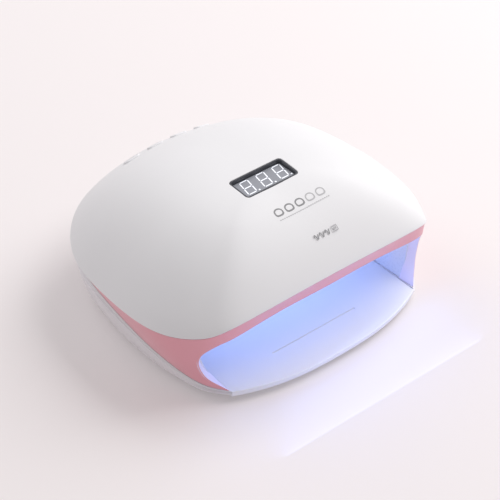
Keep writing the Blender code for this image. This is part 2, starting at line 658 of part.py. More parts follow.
def build_leds(places):
    for name, place in places.items():
        bead = cylinder(LED_RADIUS, -LINER_WALL - GAP, 0.9, sides=12, matrix=place, tip=2.4)
        add_part(name, bead, "lens")
    middle = (0, 0, -LINER_WALL - 2 * GAP - BOARD / 2)
    for side, label in ((-1, "left"), (1, "right")):
        board = box((11, 104, BOARD), middle, wall_frame(side, -8))
        add_part(f"led_board_{label}", board, "board", smooth=False)
    place = Matrix.Translation((0, -18, LINER_LEVELS[-1][0])) @ Matrix.Rotation(math.pi, 4, "X")
    add_part("led_board_top", box((112, 84, BOARD), middle, place), "board", smooth=False)


def build_electronics():
    slab = spans((-42, -12, BOARD_LEVEL), (42, 44, BOARD_LEVEL + BOARD))
    board = add_part("main_board", slab, "board", smooth=False)
    legs = [cylinder(2.2, 60.7, BOARD_LEVEL + BOARD / 2, (x, y), 10) for x in (-37, 37) for y in (-7, 20)]
    combine(board, add_cutter("board_leg_union", merge(*legs)), "UNION")
    top = BOARD_LEVEL + BOARD + GAP
    add_part("controller_chip", spans((-8, 8, top), (8, 18, top + 2)), "black", smooth=False)
    add_part("electrolytic_capacitor", cylinder(5, top, top + 13, (26, 24), 20), "black")
    add_part("power_inductor", spans((-32, 18, top), (-20, 30, top + 6)), "black", smooth=False)
    add_part("buzzer", cylinder(6, top, top + 8, (-26, 4), 20), "black")
    ceiling = LINER_LEVELS[-1][0]
    sensor = cylinder(2.5, ceiling - 0.8, ceiling + LINER_WALL + GAP, SENSOR_PLACE, 12)
    add_part("presence_sensor", sensor, "black")


def build_inlet():
    place = Matrix.Translation((0, INLET_FACE_Y, INLET_Z)) @ Matrix.Rotation(math.pi / 2, 4, "X")
    jack = add_part("dc_jack", cylinder(5.2, -2, 14, sides=20, matrix=place), "black")
    combine(jack, add_cutter("jack_bore_cutter", cylinder(3.1, -4, 10, sides=16, matrix=place)))
    pin = cylinder(1.05, -1, 11, sides=10, matrix=place)
    combine(jack, add_cutter("jack_pin_union", pin), "UNION")


def build_fasteners():
    for number, (x, y) in enumerate(FOOT_PLACES, 1):
        add_part(f"foot_{number}", cylinder(6.5, 0, FOOT_HEIGHT, (x, y), 20), "rubber")
    for number, (x, y) in enumerate(SCREW_PLACES, 1):
        screw = add_part(f"base_screw_{number}", cylinder(3.1, 3.3, 4.6, (x, y), 12), "steel")
        shank = cylinder(1.5, 4, 12, (x, y), 10)
        combine(screw, add_cutter(f"screw_shank_{number}", shank), "UNION")


def main():
    for old in list(bpy.data.objects):
        bpy.data.objects.remove(old)
    places = lamp_places()
    build_cover()
    build_display()
    build_buttons()
    build_frame()
    build_base()
    build_tray()
    build_liner(places)
    build_leds(places)
    build_electronics()
    build_inlet()
    build_fasteners()


main()
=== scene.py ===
"""The looks of the UV LED nail lamp: fine shells, lit display and chamber, materials, light, camera."""
import math

import bmesh
import bpy
import numpy as np
from mathutils import Matrix, Vector


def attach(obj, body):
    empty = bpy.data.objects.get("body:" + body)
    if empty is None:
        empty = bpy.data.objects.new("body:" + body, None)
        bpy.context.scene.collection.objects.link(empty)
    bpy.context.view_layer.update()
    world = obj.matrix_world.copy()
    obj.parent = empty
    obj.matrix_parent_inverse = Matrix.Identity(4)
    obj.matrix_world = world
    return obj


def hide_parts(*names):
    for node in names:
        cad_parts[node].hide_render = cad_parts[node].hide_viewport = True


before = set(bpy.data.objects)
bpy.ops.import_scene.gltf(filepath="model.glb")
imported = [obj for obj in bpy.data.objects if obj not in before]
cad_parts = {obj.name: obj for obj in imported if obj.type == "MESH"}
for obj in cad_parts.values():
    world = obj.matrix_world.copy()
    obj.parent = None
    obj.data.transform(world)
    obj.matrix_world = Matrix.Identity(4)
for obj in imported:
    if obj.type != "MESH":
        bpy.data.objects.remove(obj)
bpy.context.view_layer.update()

# Shapes are written in millimetres, in the row frame, and scaled once in new_piece().
MM = 0.001
AROUND = 288
COVER_EDGE = [
    (0, -97, 67.5), (41.8, -96.7, 66.7), (74, -94.7, 64.2), (90.1, -89.6, 60.1), (97.2, -82, 56.1),
    (103.6, -72.6, 53.6), (109.5, -61.5, 52.4), (113.5, -48, 51.9), (115.2, -30.4, 51.5),
    (114.6, -7.8, 50.7), (112.3, 15.5, 49.9), (108.2, 35.3, 49.8), (100.3, 53.5, 50.6),
    (86.1, 72.2, 51.4), (64.2, 89.5, 51), (34.3, 102.2, 49.6), (0, 107.2, 48.8),
]
CREST_INSET = [0.1, 0.4, 0.9, 1.5, 2.4, 3.1, 3.8, 4.3, 4.8, 5.3, 5.9, 7, 8.2, 8.9, 9.2, 9.4, 9.4]
CREST_RISE = [1, 1.6, 2.5, 4, 6, 7.5, 8.7, 8.9, 9, 9.3, 10.2, 11.4, 12, 11.9, 11.7, 11.6, 11.6]
BASE_EDGE = [
    (0, -106, 9), (42, -103.5, 9), (72, -96.5, 9), (82.5, -89.5, 9.3), (89.5, -81, 10.3),
    (94.9, -72, 12.8), (99.5, -61.5, 17), (104.1, -48.1, 23), (108, -30.5, 30.5),
    (110.4, -8.5, 38.8), (110.6, 14, 45.5), (106.8, 34.3, 48.7), (98.9, 52.3, 49.8),
    (84.9, 70.9, 50.4), (63.4, 88, 50), (33.9, 100.6, 48.6), (0, 105.6, 47.8),
]
CREASE_DROP = [1, 1, 1, 1, 1.2, 1.5, 2, 2.7, 3.5, 4.7, 6, 7, 8, 8, 8, 8, 8]
BASE_LOW = [
    (0, -103, 6), (42, -101, 6), (71, -95, 6), (83, -88.5, 6), (90.5, -79.5, 6.2),
    (94.5, -70, 6.5), (97, -59.5, 6.8), (99.3, -46, 7), (100.4, -30.5, 7.2),
    (100.6, -8.5, 7.5), (98.8, 13.5, 8), (95.6, 33, 8), (91, 52, 8),
    (79, 70, 8), (61, 84, 8), (33, 96, 8), (0, 100.5, 8),
]
FRAME_WAIST = [9, 9, 4, 1.2, -0.9, -1.1, -1.2, -0.6, 0, 0, 0, 0, 0, 0, 0, 0, 0]
FRAME_WALL = 1.5
FRAME_TAIL_LOW = [10.6, 9.2, 7.8, 6.6, 5.4, 4.2, 3.4]
FRAME_UPPER = [10.6, 9.6, 8.7, 7.8, 7.1, 6.5, 6, 5.6, 5.2, 4.9, 4.6, 4.2, 3.7, 3.1, 2.1, 1, 0]
APEX = np.array((0, -14, 105.5))
DOME_REACH = (110, 83, 112)
DOME_POWER = (2.04, 2.92, 2.14)
DOME_FULLNESS = (1.16, 1.04, 1.05)
DOME_SOFTNESS = 0.1
DOME_ROUNDING = 0.5
OPENING = [(81.5, 9.5), (87.5, 14.5), (93, 21.5), (96.3, 33), (94.5, 42.5), (87.5, 49.5), (75, 52.2),
           (40, 53.6), (20, 53.9), (0, 54)]
LINER_MOUTH = [(80.9, 9.3), (84, 14.5), (88.3, 21.5), (92.6, 34), (91.2, 45), (84.5, 51.5), (72, 54.2),
               (40, 55.4), (20, 55.6), (0, 55.7)]
LINER_LEVELS = [(9.2, 80.8, 72), (21, 84, 71.5), (38, 86.4, 70), (47, 85, 67), (53, 79, 61), (56.5, 68, 50)]
LINER_FLARE = [0, 4, 6.6, 5, 2.5, 0]
FLARE_START, FLARE_END = -76, -62
LINER_WALL = 1.6
LINER_CORNER = 38
MOUTH_Y, MOUTH_LEAN = -79, 0.2
TRAY_HALF, TRAY_TOP, TRAY_UNDER, TONGUE_UNDER = 80.3, 8.7, 5.6, 4.2
TRAY_FRONT, TRAY_CORNER_Y, TRAY_REAR, TONGUE_START = -107.2, -92.2, 48, -88
GROOVE_HALF, GROOVE_Y = 36.5, -80.3
GAP = 0.3
WINDOW = (0, -27.2)
WINDOW_SIZE = (44.2, 20.6)
WINDOW_CORNER = 2.8
WINDOW_EDGE = 0.3             # radius of the soft edge round the window
FACE_RECESS = 2.8
BEZEL_WALL = 1.3
BUTTON_X = (-30.6, -10.2, 10.2, 30.6)
BUTTON_Y = 77
BUTTON_SIZE = (13, 6.5)
DIGIT_SIZE = (6.6, 13.3)      # between the middle lines of a digit's outer segments
DIGIT_PITCH, DIGIT_SLANT, SEGMENT_WIDTH = 13.65, 0.2, 0.8
LED_SIDE_Y, LED_SIDE_Z = (-52, -20, 12, 36), 29.5
LED_TOP_X, LED_TOP_Y, CHAMBER_ROOF = (-48, -16, 16, 48), (-52, -18, 16), 56.5
LENS_PROFILE = [(2.9, -1.9), (3.1, -1.7), (3.1, 0.1), (2.95, 0.2), (2.55, 0.22), (2.5, 0.4),
                (2.3, 0.75), (1.9, 1.05), (1.3, 1.28), (0.6, 1.4)]
FOOT_PROFILE = [(5.9, 0), (6.3, 0.25), (6.5, 0.7), (6.5, 2.3), (6.3, 2.6)]
FOOT_GROOVE_RADIUS = 4.55
PAD_PROFILE = [(3.7, 0.02), (3.85, 0.12), (3.85, 0.45)]
SCREW_PROFILE = [(2.2, 3.3), (2.8, 3.45), (3.1, 3.9), (3.1, 4.6), (1.5, 4.6), (1.5, 11.2), (0.6, 12)]
BASE_BOTTOM, BASE_FLOOR = 3.0, 8.9
INLET_Z = 28
NAIL_MARKS, WAVE_MARKS = (6.0, -56.0), (9.0, -79.0)


# --- curves and rings ---------------------------------------------------------------------------

def spline(half, places):
    """Points of the closed cubic spline through a half outline and its mirror image, by knot number."""
    half = np.array(half, float)
    if half.ndim == 1:
        half = half[:, None]
        mirror = [1]
    else:
        mirror = [-1] + [1] * (half.shape[1] - 1)
    knots = np.vstack([half, (half[1:-1] * mirror)[::-1]])
    size = len(knots)
    unit = np.eye(size)
    matrix = 4 * unit + np.roll(unit, 1, 0) + np.roll(unit, -1, 0)
    slopes = np.linalg.solve(matrix, 3 * (np.roll(knots, -1, 0) - np.roll(knots, 1, 0)))
    places = np.mod(np.array(places, float), size)
    k = np.minimum(places.astype(int), size - 1)
    f = (places - k)[:, None]
    a, b = knots[k], knots[(k + 1) % size]
    slope_a, slope_b = slopes[k], slopes[(k + 1) % size]
    ease = f * f * (3 - 2 * f)
    return a + (b - a) * ease + slope_a * f * (1 - f) ** 2 - slope_b * f * f * (1 - f)


def smooth_loop(half, count=AROUND):
    """Evenly numbered points round the whole closed spline through a half table."""
    return spline(half, np.arange(count) * (2 * len(half) - 2) / count)


def offset(ring, out, rise=0.0):
    """The ring moved outward in plan by out and up by rise."""
    along = np.roll(ring, -1, 0) - np.roll(ring, 1, 0)
    normal = np.stack([along[:, 1], -along[:, 0], np.zeros(len(ring))], 1)
    normal /= np.linalg.norm(normal, axis=1)[:, None]
    normal *= np.sign((normal * ring).sum())
    moved = ring + normal * np.reshape(out, (-1, 1))
    moved[:, 2] += np.ravel(rise)
    return moved


def catmull(rings, steps):
    """Rings of a smooth skin through the control rings, which may be single points too."""
    p = [rings[0], *rings, rings[-1]]
    made = []
    for k in range(1, len(p) - 2):
        for f in np.arange(steps) / steps:
            a, b, c, d = p[k - 1], p[k], p[k + 1], p[k + 2]
            made.append(0.5 * (2 * b + (c - a) * f + (2 * a - 5 * b + 4 * c - d) * f ** 2
                               + (3 * b - a - 3 * c + d) * f ** 3))
    made.append(p[-2])
    return made


class Dome:
    """The cover's outer surface above the crest, as a height over the plan."""

    def __init__(self):
        edge = smooth_loop(COVER_EDGE, 1440)
        crest = offset(edge, -smooth_loop(CREST_INSET, 1440), smooth_loop(CREST_RISE, 1440))
        reach = crest[:, :2] - APEX[:2]
        angle = np.arctan2(reach[:, 1], reach[:, 0])
        order = np.argsort(angle)
        self.angle = angle[order]
        self.length = np.linalg.norm(reach, axis=1)[order]
        self.level = crest[order, 2]

    def height(self, x, y):
        x, y = np.asarray(x, float), np.asarray(y, float)
        dx, dy = x - APEX[0], y - APEX[1]
        radius = np.hypot(dx, dy) + 1e-9
        angle = np.arctan2(dy, dx)
        length = np.interp(angle, self.angle, self.length, period=2 * math.pi)
        level = np.interp(angle, self.angle, self.level, period=2 * math.pi)
        sine = dy / radius
        front, rear = np.clip(-sine, 0, 1) ** 2, np.clip(sine, 0, 1) ** 2
        side = 1 - front - rear
        power = DOME_POWER[0] * front + DOME_POWER[1] * side + DOME_POWER[2] * rear
        fullness = DOME_FULLNESS[0] * front + DOME_FULLNESS[1] * side + DOME_FULLNESS[2] * rear
        depth = np.where(sine < 0, DOME_REACH[1], DOME_REACH[2])
        ellipse = 1 / np.sqrt((1 - sine ** 2) / DOME_REACH[0] ** 2 + sine ** 2 / depth ** 2)
        bend = DOME_ROUNDING * (ellipse / length - 1)
        bend = np.where(np.abs(bend) < 1e-4, 1e-4, bend)
        under_root = np.maximum((1 + bend) ** 2 - 4 * bend * radius / length, 0)
        share = np.clip(((1 + bend) - np.sqrt(under_root)) / (2 * bend), 0, 1)
        soft = math.sqrt(1 + DOME_SOFTNESS ** 2) - DOME_SOFTNESS
        eased = (np.sqrt(share ** 2 + DOME_SOFTNESS ** 2) - DOME_SOFTNESS) / soft
        lift = np.maximum(0, 1 - eased ** power) ** (1 / fullness)
        return level + (APEX[2] - level) * lift

    def frame_at(self, x, y):
        """Placement on the surface: +Z along the outward normal, +X to the lamp's right."""
        step = 1.5
        slope_x = float(self.height(x + step, y) - self.height(x - step, y)) / (2 * step)
        slope_y = float(self.height(x, y + step) - self.height(x, y - step)) / (2 * step)
        normal = Vector((-slope_x, -slope_y, 1)).normalized()
        along = Vector((1, 0, slope_x)).normalized()
        turn = Matrix((along, normal.cross(along), normal)).transposed().to_4x4()
        return Matrix.Translation((x, y, float(self.height(x, y)))) @ turn


DOME = Dome()


def rounded(width, depth, radius, steps=8):
    """Points of a rectangle with rounded corners, centred on the origin."""
    points = []
    for quarter in range(4):
        sx, sy = ((1, 1), (-1, 1), (-1, -1), (1, -1))[quarter]
        cx, cy = sx * (width / 2 - radius), sy * (depth / 2 - radius)
        for k in range(steps + 1):
            angle = math.pi / 2 * (quarter + k / steps)
            points.append((cx + radius * math.cos(angle), cy + radius * math.sin(angle)))
    return np.array(points)


# --- materials ----------------------------------------------------------------------------------

def shader(name, colour, roughness, metallic=0.0, mottle=0.02, mottle_scale=35.0, grain=1400.0,
           grain_height=0.02, rough_spread=0.05, coat=0.0, emission=None, strength=0.0, specular=0.5):
    """A Principled material with slow colour variation, uneven roughness and a fine surface grain."""
    made = bpy.data.materials.new(name)
    made.use_nodes = True
    nodes, links = made.node_tree.nodes, made.node_tree.links
    body = nodes["Principled BSDF"]
    place = nodes.new("ShaderNodeTexCoord")
    cloud = nodes.new("ShaderNodeTexNoise")
    cloud.inputs["Scale"].default_value = mottle_scale
    cloud.inputs["Detail"].default_value = 4.0
    links.new(place.outputs["Object"], cloud.inputs["Vector"])
    tint = nodes.new("ShaderNodeMix")
    tint.data_type = "RGBA"
    low = [max(0.0, c * (1 - mottle)) for c in colour]
    high = [min(1.0, c * (1 + mottle)) for c in colour]
    tint.inputs[6].default_value = (*low, 1)
    tint.inputs[7].default_value = (*high, 1)
    links.new(cloud.outputs["Fac"], tint.inputs[0])
    links.new(tint.outputs[2], body.inputs["Base Color"])
    fine = nodes.new("ShaderNodeTexNoise")
    fine.inputs["Scale"].default_value = grain
    fine.inputs["Detail"].default_value = 3.0
    links.new(place.outputs["Object"], fine.inputs["Vector"])
    spread = nodes.new("ShaderNodeMapRange")
    spread.inputs["To Min"].default_value = roughness - rough_spread
    spread.inputs["To Max"].default_value = roughness + rough_spread
    links.new(fine.outputs["Fac"], spread.inputs["Value"])
    links.new(spread.outputs["Result"], body.inputs["Roughness"])
    bump = nodes.new("ShaderNodeBump")
    bump.inputs["Strength"].default_value = 0.35
    bump.inputs["Distance"].default_value = grain_height * MM
    links.new(fine.outputs["Fac"], bump.inputs["Height"])
    links.new(bump.outputs["Normal"], body.inputs["Normal"])
    body.inputs["Metallic"].default_value = metallic
    body.inputs["Specular IOR Level"].default_value = specular
    body.inputs["Coat Weight"].default_value = coat
    body.inputs["Coat Roughness"].default_value = 0.12
    if emission:
        body.inputs["Emission Color"].default_value = (*emission, 1)
        body.inputs["Emission Strength"].default_value = strength
    return made


WHITE = shader("satin_white_abs", (0.83, 0.83, 0.85), 0.5, mottle=0.012, grain=1100, grain_height=0.012,
               rough_spread=0.04, specular=0.35)
BASE_WHITE = shader("base_white_abs", (0.80, 0.78, 0.81), 0.4, mottle=0.015, grain=1000,
                    grain_height=0.018, rough_spread=0.04)
PINK = shader("pink_satin_paint", (0.80, 0.36, 0.42), 0.36, mottle=0.03, mottle_scale=24, grain=1300,
              grain_height=0.012, rough_spread=0.04, coat=0.2)
TRAY = shader("tray_white_abs", (0.84, 0.85, 0.88), 0.3, mottle=0.01, grain=900, grain_height=0.015,
              rough_spread=0.03, coat=0.1)
LINER = shader("reflective_liner", (0.80, 0.83, 0.92), 0.28, mottle=0.02, grain=700, grain_height=0.03,
               rough_spread=0.06, coat=0.15)
# Painted glow: the return is plain pale plastic, and its violet emission stands in for the chamber's LED
# light falling on it.
RETURN_PAINTED_GLOW = shader("return_with_painted_glow", (0.82, 0.79, 0.90), 0.4, mottle=0.015, grain=900, grain_height=0.015,
                rough_spread=0.04, emission=(0.45, 0.36, 1.0), strength=0.12)
LENS = shader("led_lens", (0.72, 0.68, 1.0), 0.12, mottle=0.02, grain=900, grain_height=0.01,
              rough_spread=0.02, emission=(0.36, 0.42, 1.0), strength=1.2)
# Partly painted reflection: the display's own slate grey, made lighter to stand in for the bright
# surroundings that the face reflects.
SLATE_PAINTED_REFLECTION = shader("display_slate_painted_reflection", (0.33, 0.345, 0.385), 0.3, mottle=0.06, mottle_scale=60, grain=1500,
               grain_height=0.01, rough_spread=0.04, coat=0.3)
BEZEL = shader("bezel_charcoal", (0.055, 0.058, 0.07), 0.32, mottle=0.08, grain=1200,
               grain_height=0.02, rough_spread=0.05)
DIGIT = shader("lit_segments", (0.86, 0.88, 0.92), 0.4, mottle=0.01, rough_spread=0.02,
               emission=(0.86, 0.9, 1.0), strength=0.45)
INK = shader("grey_ink", (0.235, 0.235, 0.245), 0.5, mottle=0.05, mottle_scale=300, rough_spread=0.05)
PALE_INK = shader("pale_grey_ink", (0.47, 0.47, 0.485), 0.5, mottle=0.04, mottle_scale=300,
                  rough_spread=0.05)
BOARD = shader("solder_mask", (0.03, 0.17, 0.085), 0.35, mottle=0.25, mottle_scale=260, grain=1800,
               grain_height=0.03, coat=0.3)
BLACK = shader("moulded_black", (0.028, 0.028, 0.032), 0.42, mottle=0.15, mottle_scale=80, grain=1500,
               grain_height=0.03, rough_spread=0.08)
STEEL = shader("zinc_steel", (0.56, 0.56, 0.57), 0.3, metallic=1.0, mottle=0.06, mottle_scale=300,
               grain=2200, grain_height=0.02, rough_spread=0.1)
RUBBER = shader("foot_rubber", (0.03, 0.03, 0.032), 0.75, mottle=0.2, mottle_scale=120, grain=1600,
                grain_height=0.05, rough_spread=0.08)


# --- mesh helpers -------------------------------------------------------------------------------

def new_piece(name, mesh, material, body="lamp_body", angle=35.0, flip=True):
    """A bmesh in millimetres as a named piece in metres that rides on a body."""
    if flip:
        bmesh.ops.recalc_face_normals(mesh, faces=mesh.faces)
    bmesh.ops.scale(mesh, vec=(MM, MM, MM), verts=mesh.verts)
    data = bpy.data.meshes.new(name)
    mesh.to_mesh(data)
    mesh.free()
    data.shade_smooth()
    if angle:
        data.set_sharp_from_angle(angle=math.radians(angle))
    made = bpy.data.objects.new(name, data)
    bpy.context.scene.collection.objects.link(made)
    if material:
        data.materials.append(material)
        if body:
            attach(made, body)
    return made


def skin(rings, closed=False, caps=(None, None)):
    """A skin of quads over closed rings; closed joins the last ring to the first."""
    mesh = bmesh.new()
    rows = [[mesh.verts.new(p) for p in ring] for ring in rings]
    pairs = list(zip(rows[:-1], rows[1:])) + ([(rows[-1], rows[0])] if closed else [])
    for low, high in pairs:
        for k in range(len(low)):
            after = (k + 1) % len(low)
            mesh.faces.new((low[k], low[after], high[after], high[k]))
    for row, cap in zip((rows[0], rows[-1]), caps):
        if cap is not None and len(cap) == 0:
            mesh.faces.new(row)
        elif cap is not None:
            middle = mesh.verts.new(cap)
            for k in range(len(row)):
                mesh.faces.new((row[k], row[(k + 1) % len(row)], middle))
    return mesh


def cut(piece, meshes, operation="DIFFERENCE"):
    """Applies exact Booleans of bmeshes in millimetres to the piece."""
    for mesh in meshes:
        tool = new_piece("tool", mesh, None, None, angle=None)
        made = piece.modifiers.new("cut", "BOOLEAN")
        made.operation, made.object, made.solver = operation, tool, "EXACT"
        graph = bpy.context.evaluated_depsgraph_get()
        result = bpy.data.meshes.new_from_object(piece.evaluated_get(graph))
        piece.modifiers.clear()
        piece.data = result
        bpy.data.objects.remove(tool)
    piece.data.shade_smooth()
    piece.data.set_sharp_from_angle(angle=math.radians(35))


def spans(low, high):
    """A box between two corners, used as a cutter."""
    mesh = bmesh.new()
    bmesh.ops.create_cube(mesh, size=1)
    size = [b - a for a, b in zip(low, high)]
    bmesh.ops.scale(mesh, vec=size, verts=mesh.verts)
    bmesh.ops.translate(mesh, vec=[(a + b) / 2 for a, b in zip(low, high)], verts=mesh.verts)
    return mesh


def merge(meshes):
    """One bmesh holding all of them; the others are freed."""
    joined = meshes[0]
    for extra in meshes[1:]:
        data = bpy.data.meshes.new("joined")
        extra.to_mesh(data)
        extra.free()
        joined.from_mesh(data)
        bpy.data.meshes.remove(data)
    return joined


def prism(outline, low, high, matrix=None):
    """A plan outline extruded from one height to another."""
    mesh = skin([[(x, y, z) for x, y in outline] for z in (low, high)], caps=((), ()))
    if matrix:
        bmesh.ops.transform(mesh, matrix=matrix, verts=mesh.verts)
    return mesh


def turned(profile, matrix=None, sides=32):
    """A solid of revolution about Z through (radius, height) points, from bottom to top."""
    angle = np.arange(sides) * 2 * math.pi / sides
    rings = [np.stack([r * np.cos(angle), r * np.sin(angle), np.full(sides, z)], 1) for r, z in profile]
    mesh = skin(rings, caps=((0, 0, profile[0][1]), (0, 0, profile[-1][1])))
    if matrix:
        bmesh.ops.transform(mesh, matrix=matrix, verts=mesh.verts)
    return mesh


def loft_outline(outline, levels, matrix=None):
    """A solid lofted over one outline: each level is (inset, height)."""
    ring = np.array([(x, y, 0) for x, y in outline], float)
    rings = [offset(ring, -inset, height) for inset, height in levels]
    mesh = skin(rings, caps=((), ()))
    if matrix:
        bmesh.ops.transform(mesh, matrix=matrix, verts=mesh.verts)
    return mesh


def sheet(front, back, present):
    """A closed solid between two grids of points; present marks the quads that exist."""
    mesh = bmesh.new()
    needed = np.zeros(front.shape[:2], bool)
    for j, k in np.argwhere(present):
        needed[j:j + 2, k:k + 2] = True
    layers = []
    for grid in (front, back):
        verts = {(j, k): mesh.verts.new(grid[j][k]) for j, k in map(tuple, np.argwhere(needed))}
        for j, k in np.argwhere(present):
            mesh.faces.new((verts[j, k], verts[j, k + 1], verts[j + 1, k + 1], verts[j + 1, k]))
        layers.append(verts)
    partner = {vert: layers[1][key] for key, vert in layers[0].items()}
    for edge in [e for e in mesh.edges if len(e.link_faces) == 1 and e.verts[0] in partner]:
        p, q = edge.verts
        mesh.faces.new((p, q, partner[q], partner[p]))
    return mesh


def normals_of(grid):
    """Unit normals of a grid of rings, closed around each ring."""
    down = np.gradient(grid, axis=0)
    along = np.roll(grid, -1, 1) - np.roll(grid, 1, 1)
    normal = np.cross(along, down)
    return normal / (np.linalg.norm(normal, axis=2)[:, :, None] + 1e-9)


# --- cover --------------------------------------------------------------------------------------

def window_ring(directions, out, drop):
    """The window's rounded outline, grown by out, met by rays in the given plan directions."""
    width, depth = WINDOW_SIZE[0] / 2 + out, WINDOW_SIZE[1] / 2 + out
    radius = WINDOW_CORNER + out
    points = []
    for dx, dy in directions:
        ax, ay = abs(dx), abs(dy)
        reach = min(width / max(ax, 1e-9), depth / max(ay, 1e-9))
        x, y = ax * reach, ay * reach
        cx, cy = width - radius, depth - radius
        if x > cx and y > cy:
            along = ax * cx + ay * cy
            inside = along ** 2 - (cx * cx + cy * cy - radius ** 2)
            reach = along + math.sqrt(max(inside, 0))
            x, y = ax * reach, ay * reach
        points.append((WINDOW[0] + math.copysign(x, dx), WINDOW[1] + math.copysign(y, dy)))
    points = np.array(points)
    return np.column_stack([points, DOME.height(points[:, 0], points[:, 1]) - drop])


def soften_front(rows, passes=90):
    """Smooths the crest away round the front, where the real shell has none, and a little elsewhere."""
    knot = np.arange(AROUND) * 32 / AROUND
    front = np.clip((8.5 - np.minimum(knot, 32 - knot)) / 3.5, 0.06, 1)[None, :, None]
    depth = np.arange(len(rows))
    near = (np.clip((depth - 1) / 5, 0, 1) * np.clip((46 - depth) / 14, 0, 1))[1:-1, None, None]
    for _ in range(passes):
        smooth = (rows[:-2] + rows[2:]) / 2
        rows[1:-1] += 0.5 * front * near * (smooth - rows[1:-1])
    return rows


def make_cover():
    edge = smooth_loop(COVER_EDGE)
    inset, rise = smooth_loop(CREST_INSET), smooth_loop(CREST_RISE)
    crest = offset(edge, -inset, rise)
    reach = crest[:, :2] - np.array(WINDOW)
    directions = reach / np.linalg.norm(reach, axis=1)[:, None]
    lip_out = window_ring(directions, WINDOW_EDGE, 0)
    dome = []
    for share in 1 - (1 - np.linspace(0, 1, 56)) ** 1.35:
        plan = crest[:, :2] * (1 - share) + lip_out[:, :2] * share
        dome.append(np.column_stack([plan, DOME.height(plan[:, 0], plan[:, 1])]))
    middle = offset(edge, -inset / 2 + np.minimum(0.5, rise / 8), rise / 2)
    low = offset(edge, 0.0, 0.45)
    band = catmull([dome[1], crest, middle, low], 7)[7:][::-1]
    under = [offset(edge, -inset / 2 - 2.4, rise / 2 - 0.2), offset(edge, -2.3, 0.1),
             offset(edge, -0.7, 0.0), offset(edge, -0.22, 0.12)]
    bevel = []
    for step in range(1, 6):
        angle = math.pi / 2 * step / 5
        out, drop = WINDOW_EDGE * (1 - math.sin(angle)), WINDOW_EDGE * (1 - math.cos(angle))
        bevel.append(window_ring(directions, out, drop))
    outer = soften_front(np.array([*band, *dome[1:]]))
    inward = normals_of(outer)
    if inward[-1, 0, 2] > 0:
        inward = -inward
    inner = outer + 2.2 * inward
    keep = list(range(8, len(outer), 3))
    rings = [*under, *outer, *bevel, window_ring(directions, 0.0, 2.2), *[inner[k] for k in keep[::-1]]]
    cover = new_piece("cover_shell", skin(rings, closed=True), WHITE, angle=50)
    outline = rounded(BUTTON_SIZE[0] + 0.6, BUTTON_SIZE[1] + 0.6, BUTTON_SIZE[1] / 2 + 0.29, 8)
    holes = [loft_outline(outline, [(0, -7), (0, -0.55), (-0.25, -0.15), (-0.6, 0.15), (-0.6, 4)],
                          DOME.frame_at(x, BUTTON_Y)) for x in BUTTON_X]
    cut(cover, [merge(holes)])
    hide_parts("top_cover")


def make_buttons():
    outline = rounded(BUTTON_SIZE[0], BUTTON_SIZE[1], BUTTON_SIZE[1] / 2 - 0.01, 10)
    levels = [(0, -4.2), (0, 0.35), (0.08, 0.6), (0.25, 0.78), (0.5, 0.88), (1.2, 0.93), (2.2, 0.93)]
    for number, x in enumerate(BUTTON_X, 1):
        cap = new_piece(f"button_cap_{number}", loft_outline(outline, levels, DOME.frame_at(x, BUTTON_Y)),
                        WHITE, f"button_body_{number}", angle=60)
        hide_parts(f"timer_button_{number}")


# --- pink side frame ----------------------------------------------------------------------------

def plan_normals(half, places):
    along = spline(half, np.array(places) + 0.02) - spline(half, np.array(places) - 0.02)
    normal = np.stack([along[:, 1], -along[:, 0], np.zeros(len(along))], 1)
    return normal / np.linalg.norm(normal, axis=1)[:, None]


def frame_points(places, heights):
    t = np.array(heights, float)[:, None]
    low = spline(BASE_EDGE, places) - 0.2 * plan_normals(BASE_EDGE, places) + (0, 0, GAP)
    high = spline(COVER_EDGE, places) - 0.9 * plan_normals(COVER_EDGE, places) - (0, 0, 0.8)
    waist = spline(FRAME_WAIST, places) * 4 * t * (1 - t)
    return low + (high - low) * t - waist * plan_normals(COVER_EDGE, places)


def resample(stations, share, steps):
    p = np.array([stations[0], *stations, stations[-1]], float)
    made = []
    for k in range(1, len(p) - 2):
        for f in np.arange(steps) / steps:
            a, b, c, d = p[k - 1], p[k], p[k + 1], p[k + 2]
            curve = 0.5 * (2 * b + (c - a) * f + (2 * a - 5 * b + 4 * c - d) * f ** 2
                           + (3 * b - a - 3 * c + d) * f ** 3)
            made.append(share * curve + (1 - share) * (b + (c - b) * f))
    made.append(p[-2])
    return np.array(made)


